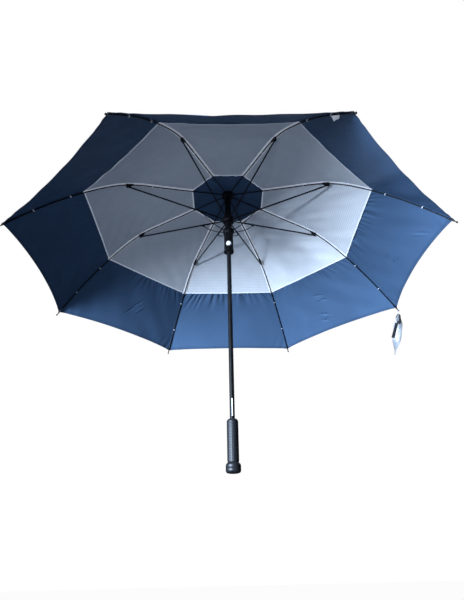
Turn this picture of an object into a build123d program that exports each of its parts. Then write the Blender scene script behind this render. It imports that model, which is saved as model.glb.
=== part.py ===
from build123d import *
import math
import os

os.makedirs("parts", exist_ok=True)

# Golf umbrella, open. Millimetres, +Z up, the shaft on the Z axis.
# The origin is the centre of the butt's flat bottom face.

# ---------------------------------------------------------------- driving dimensions
TIP_R = 660.0          # radius from the shaft axis to a rib's tip, open
RIBS = 8
FIRST_AZIMUTH = -112.5  # degrees from +X to the first rib
STEP = 360.0 / RIBS
HALF = STEP / 2

SHAFT_R, SHAFT_WALL = 6.75, 1.0
SHAFT_FOOT, SHAFT_TOP = 20.0, 930.0

BUTT_R, BUTT_BAND = 19.5, (6.0, 18.0)
GRIP_R, GRIP_FOOT, GRIP_TOP = 15.2, 26.0, 137.0
GRIP_BORE_R = SHAFT_R + 0.05

# pivots in a rib's own plane: (distance from the shaft axis, height)
NOTCH_PIVOT = (18.0, 906.5)
FLEX_PIVOT = (340.0, 840.5)      # on the rib's own axis, where its two lengths meet
STRETCHER_PIVOT = (338.5, 834.5)
COLLAR_PIVOT = (19.0, 803.0)
RUNNER_PIVOT = (15.5, 757.0)
LINK_ALONG, LINK_BELOW = 72.0, 4.0   # the link's pin, along the stretcher and below it

RIB_LINE = [(18.0, 906.5), (123.6, 886.0), (240.0, 864.0), (340.0, 840.5), (460.5, 769.5), (560.0, 687.0), (660.0, 586.0)]
RIB_R, RIB_OUTER_R = 1.9, 1.75
BLADE = 1.6            # thickness of the flat ends that sit in slots
PIN_R, PIN_HOLE_R = 0.6, 0.65
SLOT_W = 2.4

RUNNER_FOOT, RUNNER_TOP = 672.0, 762.0
RUNNER_R, RUNNER_RING_R, RUNNER_CROWN_R = 14.5, 16.0, 18.0
RUNNER_BORE_R = 6.83
FLUTE_FLOOR_R = 8.2
COVER_R, COVER_WALL, COVER_TOP = 11.0, 0.9, 794.0
COLLAR_FOOT, COLLAR_TOP, COLLAR_R = 792.0, 828.0, 20.0
NOTCH_FOOT, NOTCH_TOP, NOTCH_R = 897.0, 914.0, 20.0
SKIRT_FOOT, SKIRT_R = 829.0, 10.5   # the notch's skirt, which the collar stops against

BUTTON_Z = 704.0
BUTTON_W, BUTTON_H = 8.8, 13.0
CATCH_HOOK = (157.0, 163.0)

FABRIC = 0.8           # thickness of the sheet solids
SHEET_UNDER = 3.9      # underside of net and lower canopy above the rib's axis
FLAP_UNDER = 8.4       # underside of the upper canopy above the rib's axis
NET_INNER, SEAM, FLAP_EDGE, CORNER = 124.0, 460.5, 497.0, 651.0
HEM_CURVE = 14.0       # how far the hem curves in between two tips


def export(shape, name):
    shape.label = name
    export_step(shape, f"parts/{name}.step")


# ---------------------------------------------------------------- helpers
def natural_spline(points):
    """Second derivatives of the natural cubic through the points."""
    n = len(points)
    x = [p[0] for p in points]
    y = [p[1] for p in points]
    a, b, c, d = [0.0] * n, [1.0] * n, [0.0] * n, [0.0] * n
    for i in range(1, n - 1):
        h0, h1 = x[i] - x[i - 1], x[i + 1] - x[i]
        a[i], b[i], c[i] = h0, 2 * (h0 + h1), h1
        d[i] = 6 * ((y[i + 1] - y[i]) / h1 - (y[i] - y[i - 1]) / h0)
    for i in range(1, n):
        w = a[i] / b[i - 1]
        b[i] -= w * c[i - 1]
        d[i] -= w * d[i - 1]
    m = [0.0] * n
    for i in range(n - 2, 0, -1):
        m[i] = (d[i] - c[i] * m[i + 1]) / b[i]
    return m


CURVE = natural_spline(RIB_LINE)


def rib_z(r):
    """Height of the rib's axis at distance r from the shaft."""
    pts = RIB_LINE
    i = 0
    while i < len(pts) - 2 and r > pts[i + 1][0]:
        i += 1
    (x0, y0), (x1, y1) = pts[i], pts[i + 1]
    h = x1 - x0
    t = min(max(r, x0), x1)
    z = (
        CURVE[i] * (x1 - t) ** 3 / (6 * h)
        + CURVE[i + 1] * (t - x0) ** 3 / (6 * h)
        + (y0 / h - CURVE[i] * h / 6) * (x1 - t)
        + (y1 / h - CURVE[i + 1] * h / 6) * (t - x0)
    )
    return z


def rib_slope(r):
    return (rib_z(r + 0.5) - rib_z(r - 0.5)) / 1.0


def plate(outline, thickness, y=0.0):
    """A flat plate in the rib plane, thickness along Y, centred on y."""
    face = Plane.XZ * Polygon(*outline, align=None)
    return Pos(0, y, 0) * extrude(face, amount=thickness / 2, both=True)


def round_y(p, r, thickness, y=0.0):
    """A disc whose axis is along Y."""
    return Pos(p[0], y, p[1]) * (Rot(90, 0, 0) * Cylinder(r, thickness))


def bar(p, q, height, thickness, y=0.0):
    """A straight flat bar from p to q in the rib plane."""
    dx, dz = q[0] - p[0], q[1] - p[1]
    long = math.hypot(dx, dz)
    nx, nz = -dz / long * height / 2, dx / long * height / 2
    return plate(
        [(p[0] + nx, p[1] + nz), (q[0] + nx, q[1] + nz), (q[0] - nx, q[1] - nz), (p[0] - nx, p[1] - nz)],
        thickness,
        y,
    )


def rod(points, r):
    """A round rod along a smooth line in the rib plane."""
    path = Spline(*[(x, 0, z) for x, z in points])
    return sweep(path.location_at(0) * Circle(r), path=path)


def straight_rod(p, q, r):
    dx, dz = q[0] - p[0], q[1] - p[1]
    long = math.hypot(dx, dz)
    axis = Vector(dx, 0, dz)
    plane = Plane(origin=(p[0], 0, p[1]), z_dir=axis)
    return extrude(plane * Circle(r), amount=long)


def around(shape, k):
    return Rot(0, 0, FIRST_AZIMUTH + STEP * k) * shape


def turned(profile):
    """A solid of revolution about Z from (radius, height) points."""
    face = Plane.XZ * Polygon(*profile, align=None)
    return revolve(face, axis=Axis.Z)


def slots(floor_r, outer_r, z0, z1, width=SLOT_W):
    """Radial slots in the rib planes."""
    one = Pos((floor_r + outer_r) / 2, 0, (z0 + z1) / 2) * Box(outer_r - floor_r, width, z1 - z0)
    cut = around(one, 0)
    for k in range(1, RIBS):
        cut = cut + around(one, k)
    return cut


def closed_skin(vertices, triangles):
    faces = []
    for a, b, c in triangles:
        pa, pb, pc = vertices[a], vertices[b], vertices[c]
        faces.append(Face(Wire.make_polygon([pa, pb, pc], close=True)))
    return Solid(Shell(faces))


def gore(rib_stations, mid_stations, under, thickness, gap=0.2):
    """A sheet centred on a rib: straight from the rib's line to the middle line of the panel on each side."""
    rows = []
    for r, m in zip(rib_stations, mid_stations):
        half = math.radians(HALF)
        # the middle line lies on the straight chord between two neighbouring ribs
        x, y = m * math.cos(half) ** 2, m * math.cos(half) * math.sin(half)
        x, y = x + gap * math.sin(half), y - gap * math.cos(half)
        zr, zm = rib_z(r) + under, rib_z(m) + under
        rows.append([(x, -y, zm), (r, 0.0, zr), (x, y, zm)])
    n = len(rows)
    vertices = []
    for lift in (0.0, thickness):
        for (r, m), row in zip(zip(rib_stations, mid_stations), rows):
            for j, (x, y, z) in enumerate(row):
                s = rib_slope(r if j == 1 else m)
                up = 1.0 / math.sqrt(1 + s * s)
                vertices.append((x - s * up * lift, y, z + up * lift) if j == 1 else (x - s * up * lift * math.cos(math.radians(HALF)), y - math.copysign(s * up * lift * math.sin(math.radians(HALF)), y), z + up * lift))
    index = lambda side, i, j: side * n * 3 + i * 3 + j
    triangles = []
    for side in (0, 1):
        for i in range(n - 1):
            for j in (0, 1):
                a, b, c, d = index(side, i, j), index(side, i + 1, j), index(side, i + 1, j + 1), index(side, i, j + 1)
                if j == 0:
                    tri = [(a, b, c), (a, c, d)]
                else:
                    tri = [(a, b, d), (b, c, d)]
                triangles += [t if side == 1 else t[::-1] for t in tri]
    edge = [(0, j) for j in range(3)] + [(i, 2) for i in range(1, n)] + [(n - 1, j) for j in (1, 0)] + [(i, 0) for i in range(n - 2, 0, -1)]
    for (i0, j0), (i1, j1) in zip(edge, edge[1:] + edge[:1]):
        a, b, c, d = index(0, i0, j0), index(0, i1, j1), index(1, i1, j1), index(1, i0, j0)
        triangles += [(a, b, c), (a, c, d)]
    return closed_skin(vertices, triangles)


# ---------------------------------------------------------------- shaft, grip, top end
shaft = Pos(0, 0, (SHAFT_FOOT + SHAFT_TOP) / 2) * (
    Cylinder(SHAFT_R, SHAFT_TOP - SHAFT_FOOT) - Cylinder(SHAFT_R - SHAFT_WALL, SHAFT_TOP - SHAFT_FOOT)
)
shaft -= Pos(0, -SHAFT_R, 168) * Box(3.2, 6.0, 52.0)
export(shaft, "shaft")

# the catch: a leaf in the shaft's window with a hook that holds the runner down and a pad the button presses
catch = Pos(0, -5.9, 168) * Box(2.6, 1.4, 48.0)
hook = Plane.YZ * Polygon((-9.5, CATCH_HOOK[0]), (-9.5, CATCH_HOOK[0] + 2.5), (-6.0, CATCH_HOOK[1] + 3.0), (-6.0, CATCH_HOOK[0]), align=None)
catch += extrude(hook, amount=1.3, both=True)
catch += Pos(0, -6.4, 187) * Box(2.6, 1.6, 7.0)
export(catch, "lower_catch")

butt = turned([(0, 0), (14.5, 0), (17.6, 1.4), (19.1, 3.6), (BUTT_R, BUTT_BAND[0]), (BUTT_R, BUTT_BAND[1]), (18.6, 21.0), (16.4, 23.4), (14.4, 25.2), (0, 25.2)])
butt -= Pos(0, 0, 30) * Cylinder(GRIP_BORE_R, 20.2)
export(butt, "butt_cap")

grip = turned(
    [(GRIP_BORE_R, GRIP_FOOT - 0.6), (14.4, GRIP_FOOT - 0.6), (14.4, 28.4), (GRIP_R, 30.0), (GRIP_R, 129.0), (14.6, 132.6), (12.6, 135.4), (9.6, GRIP_TOP), (GRIP_BORE_R, GRIP_TOP)]
)
export(grip, "grip")

notch = turned([(SHAFT_R + 0.05, SKIRT_FOOT), (SKIRT_R, SKIRT_FOOT), (SKIRT_R, NOTCH_FOOT), (13.0, NOTCH_FOOT), (NOTCH_R, 900.5), (NOTCH_R, 911.5), (17.5, NOTCH_TOP), (SHAFT_R + 0.05, NOTCH_TOP)])
notch -= slots(14.8, 24.0, NOTCH_FOOT - 1, 910.2)
notch_ring = Pos(0, 0, NOTCH_PIVOT[1]) * Torus(NOTCH_PIVOT[0], PIN_R)
notch -= Pos(0, 0, NOTCH_PIVOT[1]) * Torus(NOTCH_PIVOT[0], PIN_R + 0.01)
export(Compound(children=[*notch.solids(), *notch_ring.solids()]), "rib_notch")

ferrule = turned([(0, 975.0), (3.4, 974.2), (5.4, 972.0), (6.0, 969.0), (6.0, 938.0), (8.4, 932.0), (9.0, 924.0), (14.5, 918.6), (15.5, 916.2), (SHAFT_R + 0.05, 916.2), (SHAFT_R + 0.05, SHAFT_TOP + 0.2), (0, SHAFT_TOP + 0.2)])
export(ferrule, "ferrule")

# ---------------------------------------------------------------- collar, runner, spring, button
collar = turned(
    [(COVER_R + 0.5, COLLAR_FOOT), (17.0, COLLAR_FOOT), (19.0, 795.0), (COLLAR_R, 797.0), (COLLAR_R, 809.0), (18.0, 811.5), (13.6, 814.0), (13.0, 826.5), (11.5, COLLAR_TOP), (RUNNER_BORE_R, COLLAR_TOP), (RUNNER_BORE_R, COLLAR_TOP - 2.0), (COVER_R + 0.5, COLLAR_TOP - 2.0)]
)
collar -= slots(15.4, 24.0, COLLAR_FOOT - 1, 807.0)
export(collar, "collar")

runner = turned(
    [(RUNNER_BORE_R, RUNNER_FOOT), (15.0, RUNNER_FOOT), (RUNNER_RING_R, 673.2), (RUNNER_RING_R, 677.0), (RUNNER_R, 683.0), (RUNNER_R, 744.0), (RUNNER_CROWN_R, 749.0), (RUNNER_CROWN_R, 760.5), (16.8, RUNNER_TOP), (COVER_R - COVER_WALL, RUNNER_TOP), (COVER_R - COVER_WALL, 757.0), (RUNNER_BORE_R, 757.0)]
)
runner -= slots(FLUTE_FLOOR_R, 22.0, RUNNER_FOOT - 1, RUNNER_TOP + 1)
cover = turned([(RUNNER_BORE_R, 753.5), (COVER_R, 753.5), (COVER_R, COVER_TOP), (COVER_R - COVER_WALL, COVER_TOP), (COVER_R - COVER_WALL, 757.0), (RUNNER_BORE_R, 757.0)])
runner += cover
# pocket for the catch's hook and pad, above the lip it holds
runner -= Pos(0, -8.5, (673.7 + 712.0) / 2) * Box(3.4, 3.6, 712.0 - 673.7)
stem_axis = Rot(90, 0, 0)
runner += Pos(0, -15.05, BUTTON_Z) * (stem_axis * Cylinder(3.1, 2.1))
runner -= Pos(0, -11.5, BUTTON_Z) * (stem_axis * Cylinder(2.08, 12.0))
export(runner, "runner")

cap_face = Plane(origin=(0, -16.6, BUTTON_Z), x_dir=(1, 0, 0), z_dir=(0, -1, 0)) * Ellipse(BUTTON_W / 2, BUTTON_H / 2)
cap_top = Plane(origin=(0, -20.2, BUTTON_Z), x_dir=(1, 0, 0), z_dir=(0, -1, 0)) * Ellipse(BUTTON_W / 2 - 1.6, BUTTON_H / 2 - 2.0)
cap = loft([cap_face, cap_top])
cap -= Pos(0, -17.0, BUTTON_Z) * (stem_axis * Cylinder(3.3, 2.4))
stem = Pos(0, -14.0, BUTTON_Z) * (stem_axis * Cylinder(2.0, 9.6))
button = cap + stem
export(button, "runner_button")

spring_path = Pos(0, 0, 758.0) * Helix(pitch=7.3, height=66.0, radius=8.6)
spring = sweep(Plane(origin=spring_path @ 0, z_dir=spring_path % 0) * Circle(0.65), path=spring_path, is_frenet=True)
export(spring, "opening_spring")

# ---------------------------------------------------------------- ribs
def samples(r0, r1, n):
    return [(r0 + (r1 - r0) * i / (n - 1), rib_z(r0 + (r1 - r0) * i / (n - 1))) for i in range(n)]


inner = rod(samples(29.0, 333.0, 9), RIB_R)
root_end = (30.0, rib_z(30.0))
blade = bar(NOTCH_PIVOT, root_end, 3.2, BLADE) + round_y(NOTCH_PIVOT, 1.6, BLADE)
blade -= round_y(NOTCH_PIVOT, PIN_R + 0.1, 4)
s = rib_slope(328.0)
ux, uz = 1 / math.hypot(1, s), s / math.hypot(1, s)
clip_a, clip_b = (321.0, rib_z(321.0)), (333.5, rib_z(333.5))
clip = straight_rod(clip_a, clip_b, 3.15)
cheek = [(325.0, rib_z(325.0) + 2.2), (340.5, 843.3), (343.4, 842.0), (343.6, 839.2), (341.6, 833.0), (339.6, 831.4), (336.8, 831.6), (325.0, rib_z(325.0) - 3.0)]
inner = inner + blade + clip
for side in (-1, 1):
    inner += plate(cheek, 0.8, side * 2.75)
inner += round_y(FLEX_PIVOT, PIN_R, 6.3) + round_y(STRETCHER_PIVOT, PIN_R, 6.3)
inner_solids = inner.solids()

outer_end = (640.0, rib_z(640.0))
outer = rod(samples(341.5, 640.0, 10), RIB_OUTER_R)
outer += round_y(FLEX_PIVOT, 2.1, 4.2)
outer += bar(FLEX_PIVOT, (346.0, rib_z(346.0)), 3.2, 3.2)
outer -= round_y(FLEX_PIVOT, PIN_HOLE_R, 8)
s = rib_slope(640.0)
ux, uz = 1 / math.hypot(1, s), s / math.hypot(1, s)
long_tip = math.hypot(TIP_R - outer_end[0], 586.0 - outer_end[1])
ux, uz = (TIP_R - outer_end[0]) / long_tip, (586.0 - outer_end[1]) / long_tip
sleeve_end = (outer_end[0] + ux * 19, outer_end[1] + uz * 19)
tip = straight_rod((outer_end[0] + ux * 0.2, outer_end[1] + uz * 0.2), sleeve_end, 2.3)
neck = straight_rod(sleeve_end, (TIP_R - ux * 2, 586.0 - uz * 2), 1.3)
ball = Pos(TIP_R - ux * 2.8, 0, 586.0 - uz * 2.8) * Sphere(2.8)
tip = tip + neck + ball

# ---------------------------------------------------------------- stretchers and links
dx, dz = STRETCHER_PIVOT[0] - COLLAR_PIVOT[0], STRETCHER_PIVOT[1] - COLLAR_PIVOT[1]
LONG = math.hypot(dx, dz)
UX, UZ = dx / LONG, dz / LONG
NX, NZ = -UZ, UX


def on_stretcher(along, up=0.0):
    return (COLLAR_PIVOT[0] + UX * along + NX * up, COLLAR_PIVOT[1] + UZ * along + NZ * up)


LINK_PIVOT = on_stretcher(LINK_ALONG, -LINK_BELOW)
# two cheeks at the inner end, with a slot between them that the link folds into
CHEEK, CHEEK_SLOT, CHEEK_END = 0.5, 1.24, 31.0
stretcher = None
for side in (-1, 1):
    y = side * (CHEEK_SLOT + CHEEK) / 2
    cheek_part = bar(COLLAR_PIVOT, on_stretcher(CHEEK_END - 1), 3.0, CHEEK, y) + round_y(COLLAR_PIVOT, 1.5, CHEEK, y)
    stretcher = cheek_part if stretcher is None else stretcher + cheek_part
body = plate([on_stretcher(15.0, 0.8), on_stretcher(19.0, 1.8), on_stretcher(LONG - 12, 1.8), on_stretcher(LONG - 8, 1.6), on_stretcher(LONG - 8, -1.6), on_stretcher(LONG - 12, -1.8), on_stretcher(19.0, -1.8), on_stretcher(15.0, -0.8)], 3.2)
body -= bar(on_stretcher(-6.0), on_stretcher(CHEEK_END), 9.0, CHEEK_SLOT)
stretcher += body
stretcher += bar(on_stretcher(LONG - 10), STRETCHER_PIVOT, 3.0, 3.6) + round_y(STRETCHER_PIVOT, 2.3, 3.6)
stretcher -= round_y(STRETCHER_PIVOT, PIN_HOLE_R, 8)
lug = [on_stretcher(LINK_ALONG - 8, 1.9), on_stretcher(LINK_ALONG + 8, 1.9), on_stretcher(LINK_ALONG + 2.4, -LINK_BELOW - 2.2), on_stretcher(LINK_ALONG - 2.4, -LINK_BELOW - 2.2)]
for side in (-1, 1):
    stretcher += plate(lug, 0.8, side * 1.75)
stretcher += round_y(LINK_PIVOT, PIN_R, 4.3)

mid = ((LINK_PIVOT[0] + RUNNER_PIVOT[0]) / 2, (LINK_PIVOT[1] + RUNNER_PIVOT[1]) / 2)
lx, lz = LINK_PIVOT[0] - RUNNER_PIVOT[0], LINK_PIVOT[1] - RUNNER_PIVOT[1]
ll = math.hypot(lx, lz)
bow = 6.0   # the strip bows away from the stretcher
bow_mid = (mid[0] + lz / ll * bow, mid[1] - lx / ll * bow)


def on_link(t):
    """The strip's curve from the runner (0) to the stretcher (1)."""
    b = 4 * t * (1 - t) * bow
    return (RUNNER_PIVOT[0] + lx * t + lz / ll * b, RUNNER_PIVOT[1] + lz * t - lx / ll * b)


LINK_W, LINK_T = 2.4, 1.0
upper_line, lower_line = [], []
for i in range(19):
    t = 0.04 + 0.92 * i / 18
    (x0, z0), (x1, z1) = on_link(t - 0.01), on_link(t + 0.01)
    d = math.hypot(x1 - x0, z1 - z0)
    ox, oz = -(z1 - z0) / d * LINK_W / 2, (x1 - x0) / d * LINK_W / 2
    x, z = on_link(t)
    upper_line.append((x + ox, z + oz))
    lower_line.append((x - ox, z - oz))
link = plate(upper_line + lower_line[::-1], LINK_T)
link += bar(RUNNER_PIVOT, on_link(0.09), 2.2, 1.5) + round_y(RUNNER_PIVOT, 1.25, 1.5)
link += bar(on_link(0.91), LINK_PIVOT, 2.2, 1.8) + round_y(LINK_PIVOT, 1.6, 1.8)
link -= round_y(LINK_PIVOT, PIN_HOLE_R, 6)

# ---------------------------------------------------------------- sheets
net = gore([NET_INNER, 190, 260, 318, 345, 380, 420, SEAM], [NET_INNER, 190, 260, 318, 345, 380, 420, SEAM], SHEET_UNDER, FABRIC)
flap = gore([21.0, 70, 124, 190, 260, 318, 345, 380, 420, 460, FLAP_EDGE], [21.0, 70, 124, 190, 260, 318, 345, 380, 420, 455, FLAP_EDGE - 10], FLAP_UNDER, FABRIC)
hub_disc_gap = 0.3
low_r = [SEAM + 0.4, 490, 525, 560, 595, 625, CORNER]
low_m = [SEAM + 0.4 + (CORNER - HEM_CURVE - SEAM - 0.4) * (r - SEAM - 0.4) / (CORNER - SEAM - 0.4) for r in low_r]
lower = gore(low_r, low_m, SHEET_UNDER, FABRIC)

for k in range(RIBS):
    n = k + 1
    export(around(Compound(children=[*inner_solids]), k) if len(inner_solids) > 1 else around(inner_solids[0], k), f"rib_inner_{n}")
    export(Compound(children=[around(x, k) for x in [*outer.solids(), *tip.solids()]]), f"rib_outer_{n}")
    export(around(stretcher, k), f"stretcher_{n}")
    export(around(link, k), f"link_{n}")
    export(Compound(children=[around(flap, k), around(net, k)]), f"vent_cover_{n}")
    export(around(lower, k), f"lower_canopy_{n}")

# ---------------------------------------------------------------- hang tags on the fourth rib's tip
# A nylon loop goes over the tip's neck and, turned a quarter, through the eyelet that holds the cards. Its two ends meet inside the eyelet.
TAG_RIB = 3
CARD_W, CARD_H, SMALL_W, SMALL_H, CARD_T = 30.0, 150.0, 11.0, 84.0, 0.6
HOLE_BELOW = 21.0      # the eyelet's centre below the neck
loop_at = (TIP_R - ux * 7.0, 586.0 - uz * 7.0)
half_loop = [(0.2, 2.7, 1.2), (0.3, 3.0, -2.5), (1.0, 2.4, -8.0), (2.3, 1.0, -14.0), (2.7, 0.1, -18.2), (1.75, 0.0, -20.75)]
LOOP_WIRE_R = 0.36
foot, top = (0.05, 0.0, -21.6), (0.0, 0.0, 2.9)
knots = [foot, *half_loop[::-1], top, *[(-x, -y, z) for x, y, z in half_loop], (-foot[0], 0.0, foot[2])]
knots = [Vector(loop_at[0] + x, y, loop_at[1] + z) for x, y, z in knots]
ends = [knots[0] - Vector(1.4, 0, -0.6), *knots, knots[-1] + Vector(1.4, 0, 0.6)]
stations = []
for i in range(1, len(ends) - 2):
    p0, p1, p2, p3 = ends[i - 1], ends[i], ends[i + 1], ends[i + 2]
    for j in range(3):
        t = j / 3
        stations.append((p1 * 2 + (p2 - p0) * t + (p0 * 2 - p1 * 5 + p2 * 4 - p3) * t * t + (p1 * 3 - p2 * 3 + p3 - p0) * t**3) * 0.5)
stations.append(knots[-1])
sections, side = [], Vector(0, 1, 0)
for i, at in enumerate(stations):
    along = (stations[min(i + 1, len(stations) - 1)] - stations[max(i - 1, 0)]).normalized()
    side = (side - along * side.dot(along)).normalized()
    sections.append(Plane(origin=at, x_dir=side, z_dir=along) * RegularPolygon(LOOP_WIRE_R, 6))
loop = loft(sections, ruled=True)
hole_z = loop_at[1] - HOLE_BELOW
card_top = hole_z + 3.6


def disc_x(r, thickness):
    """A disc on the eyelet's axis, which lies along X."""
    return Pos(loop_at[0], 0, hole_z) * (Rot(0, 90, 0) * Cylinder(r, thickness))


card = Pos(loop_at[0] + 0.9, 0, card_top - CARD_H / 2) * Box(CARD_T, CARD_W, CARD_H)
small_card = Pos(0, 0, 3.6 - SMALL_H / 2) * Box(CARD_T, SMALL_W, SMALL_H)
small_card = Pos(loop_at[0] - 0.9, 0, hole_z) * (Rot(10, 0, 0) * small_card)
tags = card + small_card + disc_x(2.7, 3.0)
tags -= disc_x(1.7, 8.0)
export(around(tags, TAG_RIB), "hang_tags")
export(around(loop, TAG_RIB), "tag_loop")
print("link pivot", LINK_PIVOT, "loop", loop_at, "hole", hole_z, "tags", len(tags.solids()), "loop", len(loop.solids()))
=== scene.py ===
import math
import random

import bmesh
import bpy
import numpy as np
from mathutils import Matrix, Vector


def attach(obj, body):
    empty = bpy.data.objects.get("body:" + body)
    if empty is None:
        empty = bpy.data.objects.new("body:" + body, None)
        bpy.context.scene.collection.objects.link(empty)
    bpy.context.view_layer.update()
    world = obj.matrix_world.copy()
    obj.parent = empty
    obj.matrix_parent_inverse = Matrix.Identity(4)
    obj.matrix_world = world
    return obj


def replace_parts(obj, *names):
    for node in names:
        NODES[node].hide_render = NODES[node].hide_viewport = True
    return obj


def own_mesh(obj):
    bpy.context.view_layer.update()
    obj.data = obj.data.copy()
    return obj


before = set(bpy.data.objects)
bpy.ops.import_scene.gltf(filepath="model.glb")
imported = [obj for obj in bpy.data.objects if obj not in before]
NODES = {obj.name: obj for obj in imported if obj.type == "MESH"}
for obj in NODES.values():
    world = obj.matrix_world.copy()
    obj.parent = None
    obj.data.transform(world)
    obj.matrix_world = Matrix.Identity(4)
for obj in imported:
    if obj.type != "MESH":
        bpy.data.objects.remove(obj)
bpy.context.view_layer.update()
scene = bpy.context.scene
random.seed(11)

# ------------------------------------------------------------------ the umbrella's own geometry, in metres
RIBS = 8
FIRST, STEP = math.radians(-112.5), math.radians(45)
HALF = STEP / 2
RIB_LINE = [(0.0180, 0.9065), (0.1236, 0.8860), (0.2400, 0.8640), (0.3400, 0.8405), (0.4605, 0.7695), (0.5600, 0.6870), (0.6600, 0.5860)]
TIP_R = 0.660
J_R, J_Z = 0.3400, 0.8405
NET_INNER, SEAM, FLAP_EDGE, CORNER = 0.1240, 0.4605, 0.4970, 0.6510
HEM_CURVE = {0: 0.012, 1: 0.012, 2: 0.0155, 3: 0.0105, 4: 0.0060, 5: 0.0120, 6: 0.0140, 7: 0.0140}
NET_LIFT = 0.0043     # the fabric's middle above the rib's axis
FLAP_LIFT = 0.0088


def natural(points):
    n = len(points)
    x = [p[0] for p in points]
    y = [p[1] for p in points]
    a, b, c, d = [0.0] * n, [1.0] * n, [0.0] * n, [0.0] * n
    for i in range(1, n - 1):
        h0, h1 = x[i] - x[i - 1], x[i + 1] - x[i]
        a[i], b[i], c[i] = h0, 2 * (h0 + h1), h1
        d[i] = 6 * ((y[i + 1] - y[i]) / h1 - (y[i] - y[i - 1]) / h0)
    for i in range(1, n):
        w = a[i] / b[i - 1]
        b[i] -= w * c[i - 1]
        d[i] -= w * d[i - 1]
    m = [0.0] * n
    for i in range(n - 2, 0, -1):
        m[i] = (d[i] - c[i] * m[i + 1]) / b[i]
    return m


CURVE = natural(RIB_LINE)


def rib_z(r):
    pts = RIB_LINE
    i = 0
    while i < len(pts) - 2 and r > pts[i + 1][0]:
        i += 1
    (x0, y0), (x1, y1) = pts[i], pts[i + 1]
    h = x1 - x0
    t = min(max(r, x0), x1)
    return (
        CURVE[i] * (x1 - t) ** 3 / (6 * h)
        + CURVE[i + 1] * (t - x0) ** 3 / (6 * h)
        + (y0 / h - CURVE[i] * h / 6) * (x1 - t)
        + (y1 / h - CURVE[i + 1] * h / 6) * (t - x0)
    )


def rib_slope(r):
    return (rib_z(r + 0.0005) - rib_z(r - 0.0005)) / 0.001


def lifted(r, lift):
    """A point above the rib's axis, across its slope: (distance from the shaft, height)."""
    s = rib_slope(r)
    up = 1 / math.sqrt(1 + s * s)
    return r - s * up * lift, rib_z(r) + up * lift


def theta(k):
    return FIRST + STEP * k


def smooth(a, b, x):
    t = min(max((x - a) / (b - a), 0.0), 1.0)
    return t * t * (3 - 2 * t)


# ------------------------------------------------------------------ node helpers
def new_material(name):
    m = bpy.data.materials.new(name)
    m.use_nodes = True
    nt = m.node_tree
    nt.nodes.clear()
    out = nt.nodes.new("ShaderNodeOutputMaterial")
    return m, nt, out


def node(nt, kind, **props):
    n = nt.nodes.new(kind)
    for k, v in props.items():
        if k == "inputs":
            for name, value in v.items():
                n.inputs[name].default_value = value
        else:
            setattr(n, k, v)
    return n


def link(nt, a, b):
    nt.links.new(a, b)


def principled(nt, **inputs):
    b = nt.nodes.new("ShaderNodeBsdfPrincipled")
    for k, v in inputs.items():
        b.inputs[k.replace("_", " ")].default_value = v
    return b


def ramp(nt, stops, interpolation="LINEAR"):
    r = nt.nodes.new("ShaderNodeValToRGB")
    r.color_ramp.interpolation = interpolation
    while len(r.color_ramp.elements) < len(stops):
        r.color_ramp.elements.new(0.5)
    for e, (pos, col) in zip(r.color_ramp.elements, stops):
        e.position = pos
        e.color = (*col, 1) if len(col) == 3 else col
    return r


def value_mix(nt, a, b, kind="MULTIPLY"):
    n = nt.nodes.new("ShaderNodeMath")
    n.operation = kind
    for i, v in enumerate((a, b)):
        if isinstance(v, (int, float)):
            n.inputs[i].default_value = v
        else:
            link(nt, v, n.inputs[i])
    return n.outputs[0]


def thread_waves(nt, uv, pitch_u, pitch_v):
    """(along u, along v) ridges of a weave, 0 to 1."""
    sep = nt.nodes.new("ShaderNodeSeparateXYZ")
    link(nt, uv, sep.inputs[0])
    out = []
    for i, pitch in ((0, pitch_u), (1, pitch_v)):
        a = value_mix(nt, sep.outputs[i], 2 * math.pi / pitch)
        s = nt.nodes.new("ShaderNodeMath")
        s.operation = "SINE"
        link(nt, a, s.inputs[0])
        out.append(value_mix(nt, value_mix(nt, s.outputs[0], 0.5), 0.5, "ADD"))
    return out


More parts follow.
